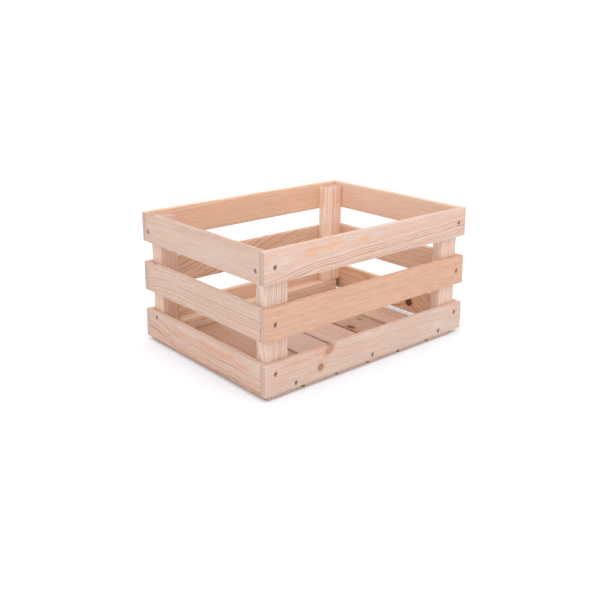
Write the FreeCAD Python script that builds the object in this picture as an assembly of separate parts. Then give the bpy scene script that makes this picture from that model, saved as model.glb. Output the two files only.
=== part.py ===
import FreeCAD, Part
import os

# Slatted wooden apple crate: four corner posts, twelve wall slats, two floor
# battens, six floor boards and the nails that hold them together.
# Millimetres. Origin: centre of the underside of the crate's bounding box.
# +X runs along the long walls, +Y from the front wall to the rear wall, +Z up.

os.makedirs("parts", exist_ok=True)
V = FreeCAD.Vector

# ---- overall -------------------------------------------------------------
LENGTH = 442.0          # over the long slats
WIDTH = 329.0           # over the outer faces of the long slats
SLAT_T = 10.5           # thickness of every wall slat
X0, X1 = -LENGTH / 2, LENGTH / 2
Y0, Y1 = -WIDTH / 2, WIDTH / 2

# ---- floor ---------------------------------------------------------------
BOARD_T = 7.0
BOARD_INSET = 3.0       # board ends sit this far inside the long walls' faces
BOARD_START = [7.0, 78.4, 147.8, 216.6, 287.2, 359.0]   # from the left end
BOARD_WIDTH = [64.4, 62.6, 62.4, 64.2, 63.0, 58.6]

BATTEN_D = 20.0         # depth, across the crate
BATTEN_H = 22.0
BATTEN_GAP = 21.0       # from each end of the crate to the batten's end

# ---- wall slats: height of lower edge above the floor boards, and width --
BASE = BOARD_T
ROWS = [("bottom", 0.0, 49.0), ("middle", 84.0, 50.0), ("top", 169.4, 50.0)]
HEIGHT = BASE + ROWS[2][1] + ROWS[2][2]

# ---- posts (stand on the battens, stop just under the rim) ---------------
# The four are rough sawn to slightly different sections and lengths:
# (width along the long wall, depth across the crate, height of the top)
POST_Z0 = BASE + BATTEN_H
POSTS = {
    "front_left": (41.0, 23.0, BASE + 210.5),
    "front_right": (39.5, 18.0, BASE + 210.5),
    "rear_left": (33.0, 28.0, BASE + 213.5),
    "rear_right": (42.5, 19.5, BASE + 214.0),
}

# ---- nails ---------------------------------------------------------------
HEAD_R, HEAD_T, SHANK_R, SUNK = 2.1, 1.0, 0.95, 0.4
POINT = 2.2
LONG_NAIL, END_NAIL, FLOOR_NAIL = 27.0, 30.0, 25.0


def box(x0, x1, y0, y1, z0, z1):
    return Part.makeBox(x1 - x0, y1 - y0, z1 - z0, V(x0, y0, z0))


def nail(p, d, length):
    """One nail whose face starts SUNK below the surface point p."""
    d = V(*d)
    p = V(*p) + d * SUNK
    head = Part.makeCylinder(HEAD_R, HEAD_T, p, d)
    shank = Part.makeCylinder(SHANK_R, length - HEAD_T - POINT, p + d * HEAD_T, d)
    point = Part.makeCone(SHANK_R, 0.15, POINT, p + d * (length - POINT), d)
    return head.fuse(shank).fuse(point).removeSplitter()


def recess(p, d):
    """Dimple left by the hammer above the sunk head."""
    return Part.makeCylinder(HEAD_R, SUNK + 0.01, V(*p) - V(*d) * 0.01, V(*d))


# ---- nail positions: (surface point, direction, length) ------------------
FX = [19.7, LENGTH - 18.4]                       # nails into the posts, from left
BX = [58.8, 220.2, 382.6]                        # nails into the battens
ROW_NAIL_Z = {"bottom": 33.0, "middle": 108.8, "top": 194.2}
BATTEN_NAIL_Z = 8.2

groups = {}
groups["nails_front_wall"] = (
    [((X0 + x, Y0, BASE + ROW_NAIL_Z[r]), (0, 1, 0), LONG_NAIL) for r in ROW_NAIL_Z for x in FX]
    + [((X0 + x, Y0, BASE + BATTEN_NAIL_Z), (0, 1, 0), LONG_NAIL) for x in BX])
groups["nails_rear_wall"] = (
    [((X0 + x, Y1, BASE + ROW_NAIL_Z[r]), (0, -1, 0), LONG_NAIL) for r in ROW_NAIL_Z for x in FX]
    + [((X0 + x, Y1, BASE + BATTEN_NAIL_Z), (0, -1, 0), LONG_NAIL) for x in BX])
groups["nails_left_end"] = [
    ((X0, Y0 + 19.9, BASE + 188.0), (1, 0, 0), END_NAIL),
    ((X0, Y1 - 17.9, BASE + 187.5), (1, 0, 0), END_NAIL),
    ((X0, Y1 - 34.0, BASE + 40.9), (1, 0, 0), END_NAIL)]
groups["nails_right_end"] = [
    ((X1, y, BASE + z), (-1, 0, 0), END_NAIL)
    for z in (188.0, 115.5, 40.9) for y in (Y0 + 20.0, Y1 - 20.0)]
floor_x = [X0 + s + w / 2 + o for s, w in zip(BOARD_START, BOARD_WIDTH) for o in (-12.0, 12.0)]
groups["nails_floor_front"] = [((x, Y0 + 20.5, 0.0), (0, 0, 1), FLOOR_NAIL) for x in floor_x]
groups["nails_floor_rear"] = [((x, Y1 - 20.5, 0.0), (0, 0, 1), FLOOR_NAIL) for x in floor_x]

nails = {}
cutters = []
for name, items in groups.items():
    solids = [nail(p, d, n) for p, d, n in items]
    nails[name] = solids
    for s, (p, d, n) in zip(solids, items):
        cutters.append(s.fuse(recess(p, d)))

# ---- timber --------------------------------------------------------------
wood = {}
for row, z, h in ROWS:
    z0, z1 = BASE + z, BASE + z + h
    wood["front_slat_" + row] = box(X0, X1, Y0, Y0 + SLAT_T, z0, z1)
    wood["rear_slat_" + row] = box(X0, X1, Y1 - SLAT_T, Y1, z0, z1)
    wood["left_slat_" + row] = box(X0, X0 + SLAT_T, Y0 + SLAT_T, Y1 - SLAT_T, z0, z1)
    wood["right_slat_" + row] = box(X1 - SLAT_T, X1, Y0 + SLAT_T, Y1 - SLAT_T, z0, z1)

xi0, xi1, yi0, yi1 = X0 + SLAT_T, X1 - SLAT_T, Y0 + SLAT_T, Y1 - SLAT_T
for name, (w, d, top) in POSTS.items():
    px = (xi0, xi0 + w) if name.endswith("left") else (xi1 - w, xi1)
    py = (yi0, yi0 + d) if name.startswith("front") else (yi1 - d, yi1)
    wood["post_" + name] = box(*px, *py, POST_Z0, top)

wood["batten_front"] = box(X0 + BATTEN_GAP, X1 - BATTEN_GAP, yi0, yi0 + BATTEN_D, BASE, BASE + BATTEN_H)
wood["batten_rear"] = box(X0 + BATTEN_GAP, X1 - BATTEN_GAP, yi1 - BATTEN_D, yi1, BASE, BASE + BATTEN_H)

for i, (s, w) in enumerate(zip(BOARD_START, BOARD_WIDTH)):
    wood["floor_board_%d" % (i + 1)] = box(X0 + s, X0 + s + w, Y0 + BOARD_INSET, Y1 - BOARD_INSET, 0.0, BOARD_T)

# ---- nail holes, then write every piece ----------------------------------
for name, shape in wood.items():
    for c in cutters:
        if shape.BoundBox.intersect(c.BoundBox):
            shape = shape.cut(c)
    shape.exportStep("parts/%s.step" % name)

for name, solids in nails.items():
    Part.makeCompound(solids).exportStep("parts/%s.step" % name)

print(len(wood) + len(nails), "pieces, height", HEIGHT)
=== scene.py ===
import math
import random

import bmesh
import bpy
from mathutils import Matrix, Vector, noise


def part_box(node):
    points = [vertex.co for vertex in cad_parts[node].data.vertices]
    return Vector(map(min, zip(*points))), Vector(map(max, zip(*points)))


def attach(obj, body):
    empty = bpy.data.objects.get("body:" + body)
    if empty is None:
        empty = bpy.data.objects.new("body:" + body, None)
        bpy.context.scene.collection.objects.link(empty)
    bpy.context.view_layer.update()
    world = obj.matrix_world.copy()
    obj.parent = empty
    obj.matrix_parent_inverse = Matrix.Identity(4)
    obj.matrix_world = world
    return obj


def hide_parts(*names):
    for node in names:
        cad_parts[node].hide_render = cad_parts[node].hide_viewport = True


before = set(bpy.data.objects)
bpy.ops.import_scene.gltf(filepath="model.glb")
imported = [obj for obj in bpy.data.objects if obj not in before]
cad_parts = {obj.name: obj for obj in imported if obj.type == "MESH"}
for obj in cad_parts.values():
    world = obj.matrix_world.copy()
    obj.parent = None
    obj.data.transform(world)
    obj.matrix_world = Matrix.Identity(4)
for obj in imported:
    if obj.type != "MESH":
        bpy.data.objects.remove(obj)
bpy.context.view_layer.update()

# Looks of a slatted softwood apple crate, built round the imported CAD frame. Metres, +Z up.

MM = 0.001
AX = {"X": 0, "Y": 1, "Z": 2}


# =====================================================================
# node helpers
# =====================================================================
class Net:
    def __init__(self, name):
        self.mat = bpy.data.materials.new(name)
        self.mat.use_nodes = True
        self.t = self.mat.node_tree
        self.t.nodes.clear()
        self.out = self.t.nodes.new("ShaderNodeOutputMaterial")
        self.bsdf = self.t.nodes.new("ShaderNodeBsdfPrincipled")
        self.t.links.new(self.bsdf.outputs[0], self.out.inputs[0])

    def link(self, a, sock):
        if isinstance(a, (int, float)):
            sock.default_value = a
        elif isinstance(a, (tuple, list)):
            sock.default_value = tuple(a) if len(a) == len(sock.default_value) else tuple(a) + (1.0,)
        else:
            self.t.links.new(a, sock)

    def m(self, op, a, b=None, c=None, clamp=False):
        n = self.t.nodes.new("ShaderNodeMath")
        n.operation = op
        n.use_clamp = clamp
        for i, v in enumerate((a, b, c)):
            if v is not None:
                self.link(v, n.inputs[i])
        return n.outputs[0]

    def add(self, a, b): return self.m("ADD", a, b)
    def sub(self, a, b): return self.m("SUBTRACT", a, b)
    def mul(self, a, b): return self.m("MULTIPLY", a, b)

    def xyz(self, x, y, z):
        n = self.t.nodes.new("ShaderNodeCombineXYZ")
        for i, v in enumerate((x, y, z)):
            self.link(v, n.inputs[i])
        return n.outputs[0]

    def noise(self, vec, scale=1.0, detail=2.0, rough=0.5, dist=0.0, color=False):
        n = self.t.nodes.new("ShaderNodeTexNoise")
        self.link(vec, n.inputs["Vector"])
        n.inputs["Scale"].default_value = scale
        n.inputs["Detail"].default_value = detail
        n.inputs["Roughness"].default_value = rough
        n.inputs["Distortion"].default_value = dist
        return n.outputs["Color" if color else "Fac"]

    def ramp(self, v, a, b, c=0.0, d=1.0, smooth=True):
        n = self.t.nodes.new("ShaderNodeMapRange")
        n.interpolation_type = "SMOOTHSTEP" if smooth else "LINEAR"
        self.link(v, n.inputs["Value"])
        n.inputs["From Min"].default_value = a
        n.inputs["From Max"].default_value = b
        n.inputs["To Min"].default_value = c
        n.inputs["To Max"].default_value = d
        return n.outputs[0]

    def mix(self, f, a, b, mode="MIX"):
        n = self.t.nodes.new("ShaderNodeMix")
        n.data_type = "RGBA"
        n.blend_type = mode
        n.clamp_factor = True
        self.link(f, n.inputs[0])
        self.link(a, n.inputs[6])
        self.link(b, n.inputs[7])
        return n.outputs[2]

    def sep(self, v):
        n = self.t.nodes.new("ShaderNodeSeparateXYZ")
        self.link(v, n.inputs[0])
        return n.outputs


# =====================================================================
# softwood: growth rings round a pith that lies outside or inside the board
# =====================================================================
def wood(name, centre, g, w, seed, tint, late=(0.60, 0.36, 0.22), pith=(0.0, -0.035), slope=(0.0, 0.0),
         spacing=2.6, contrast=0.55, wobble=5.0, fine=1.0, blotch=1.0, knots=(), nails=(), red=0.0, fade=None, bends=(), wave=(0.0, 40.0),
         patches=(), lines=()):
    """g: grain axis, w: width axis; the third is the thickness. tint: early wood, linear; on the rear slats and the
    rear right post it is also set lighter as painted light.
    """
    N = Net(name)
    rnd = random.Random(seed)
    off = [rnd.uniform(-40, 40) for _ in range(9)]
    t = 3 - g - w
    co = N.t.nodes.new("ShaderNodeTexCoord").outputs["Object"]
    s = N.sep(co)
    l, a, b = N.sub(s[g], centre[g]), N.sub(s[w], centre[w]), N.sub(s[t], centre[t])

    # slow wander of the ring centre along the board
    slow = N.sep(N.noise(N.xyz(N.add(N.mul(l, 4.5), off[0]), N.add(N.mul(a, 9.0), off[1]), N.mul(b, 9.0)), 1.0, 1.5, 0.45, color=True))
    med = N.noise(N.xyz(N.add(N.mul(l, 16.0), off[2]), N.mul(a, 75.0), N.add(N.mul(b, 75.0), off[3])), 1.0, 2.5, 0.55)
    shift = N.sub(N.mul(N.sub(slow[0], 0.5), wobble * 2.2 * MM), N.mul(l, slope[0]))
    for l0, wid, amp in bends:
        d = N.mul(N.sub(l, l0 * MM), 1 / (wid * MM))
        shift = N.add(shift, N.mul(N.m("EXPONENT", N.mul(N.mul(d, d), -1.0)), amp * MM))
    if wave[0]:
        wv = N.noise(N.xyz(N.add(N.mul(l, 1000.0 / wave[1]), off[5]), N.mul(a, 22.0), N.mul(b, 22.0)), 1.0, 1.5, 0.5)
        shift = N.add(shift, N.mul(N.sub(wv, 0.5), wave[0] * 2.0 * MM))
    bent = N.add(a, shift)
    aa = N.sub(bent, pith[0])
    bb = N.add(N.sub(N.sub(b, pith[1]), N.mul(l, slope[1])), N.mul(N.sub(slow[1], 0.5), wobble * 3.0 * MM))
    r = N.m("SQRT", N.add(N.mul(aa, aa), N.mul(bb, bb)))
    r = N.add(r, N.mul(N.sub(med, 0.5), 0.9 * MM))

    # knots push the rings aside
    kmask, kring, kdark, khalo, kparts = 0.0, None, 0.0, 0.0, []
    for k in knots:
        kl, ka, kr = k["l"] * MM, k["a"] * MM, k["r"] * MM
        el = k.get("e", 1.0)
        lean = k.get("lean", 0.0)
        dl = N.sub(l, kl)
        da = N.sub(a, ka)
        u = N.add(N.mul(dl, math.cos(lean)), N.mul(da, math.sin(lean)))
        v = N.sub(N.mul(da, math.cos(lean)), N.mul(dl, math.sin(lean)))
        jit = N.noise(N.xyz(N.mul(l, 160.0), N.mul(a, 160.0), off[4]), 1.0, 2.0)
        q = N.m("SQRT", N.add(N.mul(N.mul(u, 1 / el), N.mul(u, 1 / el)), N.mul(v, v)))
        q = N.add(q, N.mul(N.sub(jit, 0.5), kr * 0.45))
        d2 = N.add(N.mul(N.mul(dl, dl), 1 / (kr * 4.2) ** 2), N.mul(N.mul(da, da), 1 / (kr * 2.6) ** 2))
        bulge = N.m("EXPONENT", N.mul(d2, -1.0))
        r = N.add(r, N.mul(bulge, kr * k.get("push", 0.9)))
        mk = N.mul(N.ramp(q, kr * 1.10, kr * 0.80), k.get("core", 1.0))
        halo = N.ramp(q, kr * 2.6, kr * 0.9)
        rim = N.mul(N.ramp(q, kr * 0.62, kr * 0.9), N.ramp(q, kr * 1.22, kr * 0.98))
        kparts.append((mk, k))
        khalo = N.m("MAXIMUM", khalo, N.mul(halo, k.get("halo", 0.5)))
        kdark = N.m("MAXIMUM", kdark, N.mul(rim, k.get("rim", 0.8)))
        rr = N.m("FRACT", N.mul(q, 1 / (0.75 * MM)))
        kring = rr if kring is None else N.m("MAXIMUM", kring, rr)

    ph = N.add(N.mul(r, 1 / (spacing * MM)), N.mul(N.noise(N.xyz(N.mul(r, 130.0), off[5], 0.0), 1.0, 1.0), 2.2))
    f = N.m("FRACT", ph)
    ring_id = N.m("FLOOR", ph)
    wn = N.t.nodes.new("ShaderNodeTexWhiteNoise")
    wn.noise_dimensions = "1D"
    N.link(N.add(ring_id, off[6]), wn.inputs["W"])
    strength = N.add(0.45, N.mul(wn.outputs["Value"], 0.75))
    lw = N.mul(N.ramp(f, 0.38, 0.84), N.ramp(f, 1.0, 0.90))
    lw = N.mul(lw, strength)
    if fade:
        lw = N.mul(lw, N.ramp(N.add(bent, N.mul(N.sub(slow[2], 0.5), 0.010)), fade[0] * MM, fade[1] * MM, 1.0, fade[2]))

    # fibres, resin ducts, streaks and slow colour drift
    fib = N.noise(N.xyz(N.add(N.mul(l, 34.0), off[7]), N.mul(a, 1250.0), N.mul(b, 1250.0)), 1.0, 3.0, 0.6)
    duct = N.noise(N.xyz(N.add(N.mul(l, 62.0), off[1]), N.mul(a, 1750.0), N.mul(b, 1750.0)), 1.0, 1.0, 0.4)
    streak = N.noise(N.xyz(N.mul(l, 6.0), N.add(N.mul(a, 240.0), off[8]), N.mul(b, 240.0)), 1.0, 3.0, 0.55)
    drift = N.noise(N.xyz(N.add(N.mul(l, 8.0), off[3]), N.mul(a, 30.0), N.mul(b, 30.0)), 1.0, 2.0, 0.5)
    patch = N.noise(N.xyz(N.mul(l, 15.0), N.add(N.mul(a, 42.0), off[0]), N.mul(b, 42.0)), 1.0, 2.0, 0.5)

    dash = N.noise(N.xyz(N.add(N.mul(l, 44.0), off[4]), N.mul(N.add(a, N.mul(shift, 0.6)), 520.0), N.mul(b, 520.0)), 1.0, 2.5, 0.62)
    fleck = N.noise(N.xyz(N.add(N.mul(l, 42.0), off[6]), N.mul(a, 105.0), N.mul(b, 105.0)), 1.0, 1.0, 0.4)

    early = tuple(tint)
    col = N.mix(N.mul(lw, contrast), early, tuple(c * x for c, x in zip(early, (0.72, 0.49, 0.36))))
    col = N.mix(N.mul(N.ramp(streak, 0.42, 0.72), 0.40 * fine), col, tuple(c * x for c, x in zip(early, (0.88, 0.74, 0.64))))
    col = N.mix(N.mul(N.ramp(fib, 0.50, 0.76), 0.46 * fine), col, tuple(c * x for c, x in zip(early, (0.80, 0.70, 0.62))))
    col = N.mix(N.mul(N.ramp(fib, 0.46, 0.24), 0.40 * fine), col, tuple(min(1, c * x) for c, x in zip(early, (1.07, 1.10, 1.13))))
    col = N.mix(N.mul(N.ramp(duct, 0.74, 0.84), 0.45), col, tuple(c * x for c, x in zip(early, (0.55, 0.40, 0.32))))
    col = N.mix(N.mul(N.ramp(drift, 0.48, 0.70), 0.34 * blotch), col, tuple(c * x for c, x in zip(early, (0.97, 0.82, 0.76))))
    col = N.mix(N.mul(N.ramp(drift, 0.46, 0.28), 0.40 * blotch), col, tuple(min(1, c * x) for c, x in zip(early, (1.02, 1.07, 1.08))))
    col = N.mix(N.mul(N.ramp(patch, 0.58, 0.72), 0.30 * blotch), col, tuple(min(1, c * x) for c, x in zip(early, (0.90, 0.94, 1.10))))
    col = N.mix(N.mul(N.ramp(dash, 0.54, 0.70), 0.50 * fine), col, tuple(c * x for c, x in zip(early, (0.83, 0.72, 0.64))))
    col = N.mix(N.mul(N.ramp(dash, 0.45, 0.30), 0.42 * fine), col, tuple(min(1, c * x) for c, x in zip(early, (1.06, 1.08, 1.10))))
    col = N.mix(N.mul(N.ramp(fleck, 0.66, 0.74), 0.30 * blotch), col, tuple(min(1, c * x) for c, x in zip(early, (0.86, 0.93, 1.12))))
    for pl, pa, rl, ra, mult, amt in patches:
        dl, da = N.mul(N.sub(l, pl * MM), 1 / (rl * MM)), N.mul(N.sub(bent, pa * MM), 1 / (ra * MM))
        q = N.add(N.m("SQRT", N.add(N.mul(dl, dl), N.mul(da, da))), N.mul(N.sub(med, 0.5), 1.5))
        col = N.mix(N.mul(N.ramp(q, 1.15, 0.45), amt), col, N.mix(1.0, col, tuple(mult) + (1.0,), "MULTIPLY"))
    for la, wid, amt in lines:
        q = N.m("ABSOLUTE", N.sub(bent, la * MM))
        col = N.mix(N.mul(N.ramp(q, wid * MM, wid * 0.3 * MM), amt), col, tuple(c * x for c, x in zip(early, (0.62, 0.44, 0.34))))
    if red:
        col = N.mix(N.mul(N.ramp(patch, 0.46, 0.30), red), col, tuple(c * x for c, x in zip(early, (0.98, 0.76, 0.68))))
    if knots:
        col = N.mix(khalo, col, tuple(c * x for c, x in zip(early, (0.86, 0.62, 0.46))))
        for mk, k in kparts:
            col = N.mix(N.mul(mk, 0.92), col, N.mix(kring, k.get("c0", (0.33, 0.135, 0.06)), k.get("c1", (0.46, 0.22, 0.11))))
        col = N.mix(kdark, col, (0.10, 0.04, 0.02))

    # sawn ends are greyer and darker, with the rings cut across
    geo = N.t.nodes.new("ShaderNodeNewGeometry")
    nn = N.sep(geo.outputs["Normal"])
    end = N.ramp(N.m("ABSOLUTE", nn[g]), 0.72, 0.92)
    pores = N.noise(N.xyz(N.mul(l, 500.0), N.mul(a, 2200.0), N.mul(b, 2200.0)), 1.0, 2.0, 0.6)
    endc = N.mix(N.add(N.mul(lw, 0.45), N.mul(N.sub(pores, 0.4), 0.5)), (0.535, 0.375, 0.312), (0.34, 0.215, 0.168))
    col = N.mix(end, col, endc)

    # bruised, torn fibres round each nail
    dent = 0.0
    for p in nails:
        sub = N.t.nodes.new("ShaderNodeVectorMath")
        sub.operation = "SUBTRACT"
        N.link(co, sub.inputs[0])
        sub.inputs[1].default_value = p
        sn = N.sep(sub.outputs[0])
        q = N.m("SQRT", N.add(N.add(N.mul(sn[g], sn[g]), N.mul(N.mul(sn[w], 0.8), N.mul(sn[w], 0.8))), N.mul(N.mul(sn[t], 0.6), N.mul(sn[t], 0.6))))
        q = N.add(q, N.mul(N.sub(fib, 0.5), 1.0 * MM))
        stain = N.ramp(q, 4.4 * MM, 2.4 * MM)
        dent = N.m("MAXIMUM", dent, stain)
    if nails:
        col = N.mix(N.mul(dent, 0.56), col, (0.19, 0.105, 0.072))

    N.link(col, N.bsdf.inputs["Base Color"])
    rough = N.add(0.66, N.mul(N.sub(fib, 0.5), 0.22))
    N.link(N.sub(rough, N.mul(lw, 0.10)), N.bsdf.inputs["Roughness"])
    N.bsdf.inputs["Specular IOR Level"].default_value = 0.32

    # relief: raised late wood, fibres, saw marks across the face
    saw = N.noise(N.xyz(N.add(N.mul(l, 420.0), N.mul(a, 26.0)), N.mul(a, 14.0), off[2]), 1.0, 1.0, 0.4)
    h = N.add(N.mul(lw, 0.22), N.mul(fib, 0.55))
    h = N.add(h, N.mul(saw, 0.30))
    h = N.add(h, N.mul(streak, 0.25))
    h = N.sub(h, N.mul(N.ramp(duct, 0.74, 0.84), 0.35))
    if nails:
        h = N.sub(h, N.mul(dent, 0.9))
    bump = N.t.nodes.new("ShaderNodeBump")
    bump.inputs["Strength"].default_value = 0.42
    bump.inputs["Distance"].default_value = 0.00045
    N.link(h, bump.inputs["Height"])
    N.link(bump.outputs[0], N.bsdf.inputs["Normal"])
    return N.mat


def steel(name):
    N = Net(name)
    co = N.t.nodes.new("ShaderNodeTexCoord").outputs["Object"]
    n1 = N.noise(co, 900.0, 3.0, 0.6)
    n2 = N.noise(co, 2600.0, 2.0, 0.6)
    col = N.mix(N.ramp(n1, 0.40, 0.62), (0.11, 0.078, 0.062), (0.27, 0.215, 0.18))
    col = N.mix(N.mul(N.ramp(n2, 0.58, 0.75), 0.5), col, (0.22, 0.10, 0.055))
    N.link(col, N.bsdf.inputs["Base Color"])
    N.bsdf.inputs["Metallic"].default_value = 0.70
    N.link(N.add(0.42, N.mul(n1, 0.3)), N.bsdf.inputs["Roughness"])
    bump = N.t.nodes.new("ShaderNodeBump")
    bump.inputs["Strength"].default_value = 0.4
    bump.inputs["Distance"].default_value = 0.00015
    N.link(N.add(n1, n2), bump.inputs["Height"])
    N.link(bump.outputs[0], N.bsdf.inputs["Normal"])
    return N.mat


# =====================================================================
# boards as meshes: eased and worn arrises, slight warp, real nail holes
# =====================================================================
def mesh_object(name, bm, mat):
    me = bpy.data.meshes.new(name)
    bm.to_mesh(me)
    bm.free()
    me.materials.append(mat)
    o = bpy.data.objects.new(name, me)
    bpy.context.collection.objects.link(o)
    return o


def hole_cutters(holes, seed):
    """Torn, slightly slanted pockets over the sunk nail heads."""
    rnd = random.Random(seed)
    bm = bmesh.new()
    for p, d, g, size in holes:
        p, d = Vector(p), Vector(d)
        along = Vector([1.0 if i == g else 0.0 for i in range(3)])
        side = d.cross(along)
        up = Vector((0, 0, 1)) if abs(d.z) < 0.5 else side
        tilt = rnd.uniform(-0.20, 0.20) + (1.75 if size < 1.0 else 0.45)
        lean = up.cross(d) if abs(d.x) > 0.5 else d.cross(up)
        u = (up * math.cos(tilt) + lean * math.sin(tilt)).normalized()
        v = d.cross(u)
        rings = []
        for depth, s in ((-0.6, 1.22), (0.05, 1.05), (0.9, 0.92), (1.35, 0.80)):
            ring = []
            for i in range(14):
                an = 2 * math.pi * i / 14
                rr = s * (1 + 0.12 * math.sin(an * 3 + rnd.random() * 0.8) + rnd.uniform(-0.05, 0.05))
                ring.append(bm.verts.new(p + d * depth * MM + u * math.cos(an) * 4.4 * size * MM * rr + v * math.sin(an) * 2.05 * size * MM * rr))
            rings.append(ring)
        for r0, r1 in zip(rings, rings[1:]):
            for i in range(14):
                j = (i + 1) % 14
                bm.faces.new((r0[i], r0[j], r1[j], r1[i]))
        bm.faces.new(rings[0])
        bm.faces.new(rings[-1][::-1])
    bmesh.ops.recalc_face_normals(bm, faces=bm.faces)
    return bm


def board(node, g, mat, seed, holes=(), ease=0.7, wear=0.5, warp=0.25):
    lo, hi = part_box(node)
    size = hi - lo
    bm = bmesh.new()
    bmesh.ops.create_cube(bm, size=1.0)
    bmesh.ops.transform(bm, matrix=Matrix.Translation((lo + hi) / 2) @ Matrix.Diagonal((*size, 1.0)), verts=bm.verts)
    for ax in range(3):
        step = 6.5 * MM if ax == g else 8.5 * MM
        n = int(round(size[ax] / step))
        for i in range(1, n):
            pos = Vector((0, 0, 0))
            pos[ax] = lo[ax] + size[ax] * i / n
            nor = Vector([1.0 if k == ax else 0.0 for k in range(3)])
            bmesh.ops.bisect_plane(bm, geom=bm.verts[:] + bm.edges[:] + bm.faces[:], plane_co=pos, plane_no=nor)

    def extremes(c):
        return [1 if abs(c[i] - hi[i]) < 1e-7 else (-1 if abs(c[i] - lo[i]) < 1e-7 else 0) for i in range(3)]

    edges = []
    for e in bm.edges:
        a, b = extremes(e.verts[0].co), extremes(e.verts[1].co)
        if sum(1 for i in range(3) if a[i] and a[i] == b[i]) >= 2:
            edges.append(e)
    bmesh.ops.bevel(bm, geom=edges, offset=ease * MM, segments=2, profile=0.55, affect="EDGES", clamp_overlap=True)

    sv = Vector((seed * 1.37 % 31, seed * 2.11 % 29, seed * 0.73 % 37))
    for v in bm.verts:
        c = v.co.copy()
        near = [min(c[i] - lo[i], hi[i] - c[i]) for i in range(3)]
        closeness = sum(1 for n in near if n < (ease + 0.35) * MM)
        for i in range(3):
            for end, sign in ((hi[i], -1.0), (lo[i], 1.0)):
                if abs(end - c[i]) < (ease + 0.4) * MM:
                    low = 0.5 + 0.5 * noise.noise(Vector((c[0] * 9, c[1] * 9, c[2] * 9)) + sv * (i + 1 + sign * 0.3))
                    d = warp * low
                    if closeness >= 2:
                        k = noise.noise(c * 95 + sv * 1.7)
                        k2 = noise.noise(c * 330 + sv)
                        d += wear * (max(0.0, k) ** 1.3 * 1.1 + max(0.0, k2 - 0.25) * 0.7)
                    v.co[i] += sign * max(0.0, d) * MM
    bmesh.ops.recalc_face_normals(bm, faces=bm.faces)
    o = mesh_object("wood." + node, bm, mat)

    if holes:
        cut = mesh_object("cut." + node, hole_cutters([(p, d, g, 0.85 if node == "left_slat_bottom" else 1.0) for p, d in holes], seed), mat)
        md = o.modifiers.new("holes", "BOOLEAN")
        md.operation, md.solver, md.object = "DIFFERENCE", "EXACT", cut
        dg = bpy.context.evaluated_depsgraph_get()
        me = bpy.data.meshes.new_from_object(o.evaluated_get(dg))
        o.modifiers.clear()
        o.data = me
        bpy.data.objects.remove(cut)
    o.data.shade_smooth()
    o.data.set_sharp_from_angle(angle=math.radians(32))
    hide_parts(node)
    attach(o, "root")
    return o


def nails(node, items, mat, seed):
    """items: (surface point, direction, length)"""
    rnd = random.Random(seed)
    bm = bmesh.new()
    for p, d, length in items:
        p, d = Vector(p), Vector(d)
        u = d.orthogonal().normalized()
        v = d.cross(u)
        tx, ty = rnd.uniform(-0.12, 0.12), rnd.uniform(-0.12, 0.12)
        prof = [(0.80, 0.0), (0.78, 0.85), (0.82, 1.55), (0.92, 1.88), (1.15, 1.98), (1.50, 1.88), (1.70, 1.3), (2.05, 0.92),
                (length / MM - 2.0, 0.92), (length / MM, 0.0)]
        rings = []
        for depth, rad in prof:
            if rad == 0.0:
                rings.append([bm.verts.new(p + d * depth * MM)])
                continue
            ring = []
            for i in range(16):
                an = 2 * math.pi * i / 16
                rr = rad * (1 + rnd.uniform(-0.02, 0.02))
                x, y = math.cos(an) * rr, math.sin(an) * rr
                dd = depth + (x * tx + y * ty if depth < 2 else 0)
                ring.append(bm.verts.new(p + (d * dd + u * x + v * y) * MM))
            rings.append(ring)
        for r0, r1 in zip(rings, rings[1:]):
            for i in range(16):
                j = (i + 1) % 16
                if len(r0) == 1:
                    bm.faces.new((r0[0], r1[j], r1[i]))
                elif len(r1) == 1:
                    bm.faces.new((r0[i], r0[j], r1[0]))
                else:
                    bm.faces.new((r0[i], r0[j], r1[j], r1[i]))
    bmesh.ops.recalc_face_normals(bm, faces=bm.faces)
    o = mesh_object("steel." + node, bm, mat)
    o.data.shade_smooth()
    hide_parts(node)
    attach(o, "root")
    return o


# =====================================================================
# the crate
# =====================================================================
X0, X1, Y0, Y1 = -0.221, 0.221, -0.1645, 0.1645
BASE = 0.007
LONG, ENDL, FLOORL = 0.027, 0.030, 0.025
FX = [X0 + 0.0197, X1 - 0.0184]
BX = [X0 + 0.0588, X0 + 0.2202, X0 + 0.3826]
NZ = {"bottom": BASE + 0.0330, "middle": BASE + 0.1088, "top": BASE + 0.1942}
BZ = BASE + 0.0082

wall = {"front": [], "rear": []}
holes = {}
for side, y, d in (("front", Y0, (0, 1, 0)), ("rear", Y1, (0, -1, 0))):
    for row in ("bottom", "middle", "top"):
        n = [((x, y, NZ[row]), d) for x in FX]
        if row == "bottom":
            n += [((x, y, BZ), d) for x in BX]
        holes["%s_slat_%s" % (side, row)] = n
        wall[side] += n
left = [((X0, Y0 + 0.0199, BASE + 0.188), (1, 0, 0)), ((X0, Y1 - 0.0179, BASE + 0.1875), (1, 0, 0)), ((X0, Y1 - 0.034, BASE + 0.0409), (1, 0, 0))]
holes["left_slat_top"], holes["left_slat_bottom"] = left[:2], left[2:]
right = []
for row, z in (("top", 0.188), ("middle", 0.1155), ("bottom", 0.0409)):
    n = [((X1, y, BASE + z), (-1, 0, 0)) for y in (Y0 + 0.020, Y1 - 0.020)]
    holes["right_slat_" + row] = n
    right += n
fl_front, fl_rear = [], []
for i in range(6):
    lo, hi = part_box("floor_board_%d" % (i + 1))
    cx = (lo.x + hi.x) / 2
    a = [((cx + o, Y0 + 0.0205, 0.0), (0, 0, 1)) for o in (-0.012, 0.012)]
    b = [((cx + o, Y1 - 0.0205, 0.0), (0, 0, 1)) for o in (-0.012, 0.012)]
    holes["floor_board_%d" % (i + 1)] = a + b
    fl_front += a
    fl_rear += b

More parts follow.
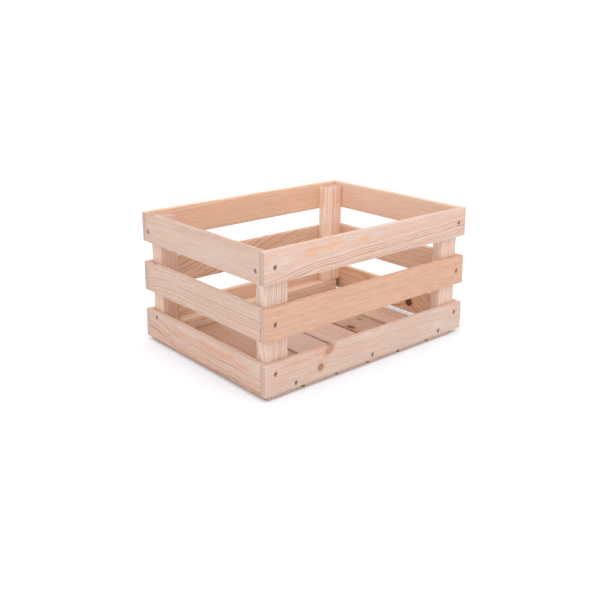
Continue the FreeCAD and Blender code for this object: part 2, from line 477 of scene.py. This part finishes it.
PALE, PEACH, PINK, TAN, WARM = (0.690, 0.500, 0.405), (0.640, 0.400, 0.280), (0.640, 0.450, 0.365), (0.660, 0.450, 0.330), (0.740, 0.480, 0.345)
DARK_KNOT = dict(c0=(0.035, 0.014, 0.010), c1=(0.06, 0.022, 0.014))

SPEC = {
    # node: grain axis, width axis, look
    "front_slat_top": ("X", "Z", dict(seed=11, tint=(0.690, 0.500, 0.410), pith=(0.046, -0.011), slope=(0.030, 0.0), spacing=5.0, contrast=1.25, wobble=3.6, blotch=1.3, fade=(-1.0, 10.0, 0.13),
                                      bends=[(-240.0, 80.0, 11.0)], wave=(3.0, 52.0),
                                      patches=[(-134, 16, 17, 7.5, (1.05, 0.83, 0.68), 0.85), (-92, 17, 27, 6, (1.05, 0.87, 0.66), 0.90), (-30, 11, 24, 6, (1.04, 0.88, 0.72), 0.75), (10, 20, 22, 6, (0.93, 0.99, 1.10), 0.9), (120, 19, 30, 6, (0.93, 0.99, 1.10), 0.6), (-188, 22, 22, 14, (1.03, 1.09, 1.12), 0.7)])),
    "front_slat_middle": ("X", "Z", dict(seed=12, tint=(0.640, 0.398, 0.279), pith=(0.09, -0.04), slope=(0.015, 0.0), spacing=2.4, contrast=0.24, wobble=3.0, blotch=0.8, fine=1.45, wave=(1.0, 50.0))),
    "front_slat_bottom": ("X", "Z", dict(seed=13, tint=(0.635, 0.465, 0.385), pith=(0.040, -0.020), slope=(-0.04, 0.02), spacing=5.2, contrast=0.30, wobble=7.0, blotch=1.5, red=0.25, wave=(2.5, 45.0), fine=1.3,
                                         patches=[(-116, 15, 14, 8, (1.02, 0.80, 0.72), 0.7), (-160, 8, 30, 5, (1.02, 0.80, 0.72), 0.5), (-60, 0, 24, 9, (1.02, 0.95, 0.86), 0.6), (130, 4, 60, 10, (1.03, 1.09, 1.12), 0.5)],
                                         knots=[dict(l=-113.0, a=-5.6, r=4.6, e=1.05, push=1.4, halo=0.65, rim=0.6, c0=(0.30, 0.12, 0.055), c1=(0.44, 0.20, 0.10)),
                                                dict(l=-94.5, a=19.2, r=4.8, e=1.8, lean=0.62, push=1.6, halo=0.85, rim=0.22, core=0.85, c0=(0.33, 0.165, 0.115), c1=(0.45, 0.250, 0.180))])),
    # rear slats: tints set lighter than the wood's own colour, painted light standing in for light on the shaded inner
    # faces
    "rear_slat_top": ("X", "Z", dict(seed=21, tint=(0.800, 0.520, 0.365), pith=(-0.06, 0.035), slope=(0.03, 0.0), spacing=3.8, contrast=0.34, wobble=6.0, blotch=0.7)),
    "rear_slat_middle": ("X", "Z", dict(seed=22, tint=(0.700, 0.478, 0.350), pith=(0.03, 0.010), slope=(0.30, 0.0), spacing=6.5, contrast=1.0, wobble=9.0, wave=(4.0, 40.0))),
    "rear_slat_bottom": ("X", "Z", dict(seed=23, tint=(0.740, 0.510, 0.375), pith=(-0.02, 0.02), slope=(-0.10, 0.0), spacing=4.2, contrast=0.55, wobble=9.0)),
    "left_slat_top": ("Y", "Z", dict(seed=31, tint=(0.605, 0.448, 0.367), pith=(0.070, -0.012), slope=(0.0, 0.0), spacing=4.0, contrast=0.95, wobble=2.0, blotch=1.3, fade=(19.0, 10.0, 0.05), fine=1.2,
                                      bends=[(180.0, 50.0, 7.0)], wave=(1.2, 70.0), patches=[(110, 0, 40, 9, (1.02, 0.92, 0.84), 0.6), (-20, -8, 60, 10, (1.03, 1.09, 1.12), 0.4)])),
    "left_slat_middle": ("Y", "Z", dict(seed=32, tint=(0.605, 0.448, 0.367), pith=(0.050, -0.013), slope=(0.01, 0.0), spacing=5.0, contrast=0.80, wobble=3.5, blotch=1.0, fine=1.2,
                                        bends=[(185.0, 45.0, 16.0)], wave=(3.2, 42.0), patches=[(140, -14, 16, 7, (1.04, 0.88, 0.72), 0.7)])),
    "left_slat_bottom": ("Y", "Z", dict(seed=33, tint=(0.590, 0.428, 0.342), pith=(0.060, -0.010), slope=(0.0, 0.0), spacing=5.2, contrast=0.88, wobble=4.0, red=0.35, blotch=1.6, fade=(1.0, 8.0, 0.22), fine=1.2,
                                        bends=[(150.0, 55.0, -16.0)], wave=(3.4, 48.0),
                                        patches=[(-14, 13, 32, 5.0, (1.05, 0.83, 0.76), 0.95), (-67, 11, 28, 5.5, (1.06, 0.80, 0.73), 0.95), (-108, 8, 26, 4.5, (1.05, 0.83, 0.76), 0.95), (60, 7, 36, 3.5, (1.04, 0.88, 0.72), 0.8), (40, 18, 44, 5, (1.03, 1.09, 1.12), 0.9), (118, -4, 18, 8, (1.03, 1.09, 1.12), 0.9), (88, -12, 12, 7, (1.04, 0.88, 0.72), 0.7)])),
    "right_slat_top": ("Y", "Z", dict(seed=41, tint=(0.800, 0.560, 0.430), pith=(-0.07, 0.03), slope=(0.04, 0.0), spacing=3.4, contrast=0.42, wobble=5.0, blotch=0.8)),
    "right_slat_middle": ("Y", "Z", dict(seed=42, tint=(0.700, 0.475, 0.355), pith=(0.04, 0.025), slope=(-0.05, 0.0), spacing=3.8, contrast=0.5, wobble=6.0)),
    "right_slat_bottom": ("Y", "Z", dict(seed=43, tint=(0.725, 0.485, 0.345), pith=(0.02, 0.02), slope=(0.05, 0.0), spacing=4.6, contrast=0.80, wobble=8.0, wave=(2.0, 40.0),
                                         knots=[dict(l=-51.7, a=-4.9, r=7.4, e=1.0, push=1.6, halo=0.8, rim=0.9, c0=(0.060, 0.016, 0.014), c1=(0.10, 0.030, 0.024))])),
    "post_front_left": ("Z", "X", dict(seed=51, tint=(0.730, 0.570, 0.480), pith=(0.034, 0.010), slope=(0.07, 0.0), spacing=3.6, contrast=0.82, wobble=3.0, fine=1.5, wave=(1.2, 30.0), lines=[(8.0, 1.1, 0.7)])),
    "post_front_right": ("Z", "X", dict(seed=52, tint=(0.765, 0.580, 0.475), pith=(-0.03, 0.02), slope=(0.0, 0.0), spacing=3.6, contrast=0.55, wobble=2.5)),
    "post_rear_left": ("Z", "X", dict(seed=53, tint=(0.715, 0.520, 0.410), pith=(0.015, -0.028), slope=(0.0, 0.02), spacing=3.4, contrast=0.85, wobble=2.5)),
    # rear right post: very pale tint, painted light that makes its front face read brighter than its wood colour
    "post_rear_right": ("Z", "X", dict(seed=54, tint=(0.905, 0.725, 0.585), pith=(0.050, -0.012), slope=(0.004, 0.0), spacing=5.0, contrast=0.50, wobble=2.0, wave=(0.8, 60.0), fine=1.6,
                                       lines=[(-1.5, 1.6, 0.75), (-17.5, 1.2, 0.5)], patches=[(0, 15, 400, 17, (0.95, 0.84, 0.80), 0.9), (85, 12, 14, 5, (1.03, 1.09, 1.12), 0.9)])),
    "batten_front": ("X", "Y", dict(seed=61, tint=TAN, pith=(0.02, 0.02), spacing=3.4, contrast=0.5, wobble=4.0)),
    "batten_rear": ("X", "Y", dict(seed=62, tint=(0.745, 0.550, 0.420), pith=(-0.02, 0.02), spacing=3.4, contrast=0.5, wobble=4.0)),
    "floor_board_1": ("Y", "X", dict(seed=71, tint=(0.495, 0.302, 0.212), pith=(0.02, -0.03), slope=(0.05, 0.0), spacing=4.0, contrast=0.5, wobble=6.0)),
    "floor_board_2": ("Y", "X", dict(seed=72, tint=(0.475, 0.288, 0.205), pith=(-0.01, -0.02), slope=(0.04, 0.0), spacing=4.0, contrast=0.45, wobble=6.0)),
    "floor_board_3": ("Y", "X", dict(seed=73, tint=(0.565, 0.400, 0.335), pith=(0.04, -0.018), slope=(0.02, 0.0), spacing=3.8, contrast=0.4, wobble=4.0)),
    "floor_board_4": ("Y", "X", dict(seed=74, tint=(0.60, 0.43, 0.345), pith=(0.035, -0.014), slope=(-0.03, 0.0), spacing=4.0, contrast=0.7, wobble=4.0, lines=[(12.0, 1.0, 0.6), (18.0, 1.0, 0.5)])),
    "floor_board_5": ("Y", "X", dict(seed=75, tint=(0.465, 0.310, 0.235), pith=(-0.01, -0.02), slope=(0.06, 0.0), spacing=4.0, contrast=0.7, wobble=8.0, blotch=1.4,
                                     patches=[(-56, -27, 14, 6, (1.15, 0.72, 0.50), 0.9)],
                                     knots=[dict(l=-38.5, a=-24.0, r=5.2, e=1.6, push=1.4, halo=0.8, rim=0.8, c0=(0.07, 0.032, 0.02), c1=(0.13, 0.06, 0.035)), dict(l=-20.5, a=15.4, r=3.0, e=1.8, push=1.2, halo=0.5, rim=0.5, c0=(0.20, 0.10, 0.07), c1=(0.28, 0.15, 0.10))])),
    "floor_board_6": ("Y", "X", dict(seed=76, tint=(0.60, 0.40, 0.30), pith=(0.03, -0.02), slope=(0.0, 0.0), spacing=3.8, contrast=0.6, wobble=6.0)),
}

for node, (g, w, kw) in SPEC.items():
    lo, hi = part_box(node)
    c = (lo + hi) / 2
    hs = holes.get(node, [])
    surf = [tuple(Vector(p)) for p, d in hs]
    mat = wood("pine." + node, c, AX[g], AX[w], nails=surf, **kw)
    board(node, AX[g], mat, kw["seed"], holes=hs)

st = steel("nail.steel")
nails("nails_front_wall", [(p, d, LONG) for p, d in wall["front"]], st, 1)
nails("nails_rear_wall", [(p, d, LONG) for p, d in wall["rear"]], st, 2)
nails("nails_left_end", [(p, d, ENDL) for p, d in left], st, 3)
nails("nails_right_end", [(p, d, ENDL) for p, d in right], st, 4)
nails("nails_floor_front", [(p, d, FLOORL) for p, d in fl_front], st, 5)
nails("nails_floor_rear", [(p, d, FLOORL) for p, d in fl_rear], st, 6)

# =====================================================================
# stage: pale floor, soft studio light, camera
# =====================================================================
bm = bmesh.new()
bmesh.ops.create_grid(bm, x_segments=1, y_segments=1, size=60.0)
for v in bm.verts:
    v.co.z = -0.0004
F = Net("stage.floor")
F.bsdf.inputs["Base Color"].default_value = (0.740, 0.760, 0.790, 1.0)
F.bsdf.inputs["Emission Color"].default_value = (1.0, 1.0, 1.0, 1.0)
F.bsdf.inputs["Emission Strength"].default_value = 0.10
F.bsdf.inputs["Roughness"].default_value = 0.9
F.bsdf.inputs["Specular IOR Level"].default_value = 0.0
floor = mesh_object("stage.floor", bm, F.mat)

world = bpy.data.worlds.new("studio")
bpy.context.scene.world = world
world.use_nodes = True
wt = world.node_tree
bg = wt.nodes["Background"]
bg.inputs["Strength"].default_value = 1.0
gen = wt.nodes.new("ShaderNodeTexCoord")
sx = wt.nodes.new("ShaderNodeSeparateXYZ")
ab = wt.nodes.new("ShaderNodeMath")
ab.operation = "ABSOLUTE"
mr = wt.nodes.new("ShaderNodeMapRange")
mr.interpolation_type = "SMOOTHSTEP"
mr.inputs["From Min"].default_value = 0.10
mr.inputs["From Max"].default_value = 0.22
mx = wt.nodes.new("ShaderNodeMix")
mx.data_type = "RGBA"
mx.inputs[6].default_value = (1.10, 1.10, 1.10, 1.0)
mx.inputs[7].default_value = (0.80, 0.80, 0.805, 1.0)
wt.links.new(gen.outputs["Generated"], sx.inputs[0])
wt.links.new(sx.outputs[2], ab.inputs[0])
wt.links.new(ab.outputs[0], mr.inputs["Value"])
wt.links.new(mr.outputs[0], mx.inputs[0])
wt.links.new(mx.outputs[2], bg.inputs["Color"])


def sun(name, direction, strength, angle, color=(1, 1, 1)):
    d = bpy.data.lights.new(name, "SUN")
    d.energy, d.angle, d.color = strength, math.radians(angle), color
    o = bpy.data.objects.new(name, d)
    o.rotation_mode = "QUATERNION"
    o.rotation_quaternion = Vector(direction).to_track_quat("-Z", "Y")
    bpy.context.collection.objects.link(o)
    return o


sun("top", (0.10, 0.15, -1.0), 1.35, 70)
sun("front", (0.10, 0.78, -0.62), 0.42, 50, (1.0, 0.995, 0.985))
sun("left", (0.80, 0.22, -0.55), 0.50, 50, (1.0, 1.0, 1.0))

cam_data = bpy.data.cameras.new("camera")
cam = bpy.data.objects.new("camera", cam_data)
bpy.context.collection.objects.link(cam)
bpy.context.scene.camera = cam
cam_data.sensor_width = 36.0
CAM = dict(loc=(-0.87784, -1.00252, 0.53059), fwd=(0.6304583, 0.7315503, -0.2595313), right=(0.757955, -0.6523018, 0.0025717), f=807.28, pp=(300.0, 240.0))
cam_data.lens = CAM["f"] / 600.0 * 36.0
cam_data.shift_x = (300.0 - CAM["pp"][0]) / 600.0
cam_data.shift_y = (CAM["pp"][1] - 300.0) / 600.0
cam_data.clip_start, cam_data.clip_end = 0.01, 100.0
zc = -Vector(CAM["fwd"]).normalized()
xc = Vector(CAM["right"])
xc = (xc - zc * xc.dot(zc)).normalized()
yc = zc.cross(xc)
cam.matrix_world = Matrix(((xc.x, yc.x, zc.x, CAM["loc"][0]), (xc.y, yc.y, zc.y, CAM["loc"][1]), (xc.z, yc.z, zc.z, CAM["loc"][2]), (0, 0, 0, 1)))

vs = bpy.context.scene.view_settings
vs.view_transform, vs.look, vs.exposure, vs.gamma = "Standard", "None", 0.0, 1.0
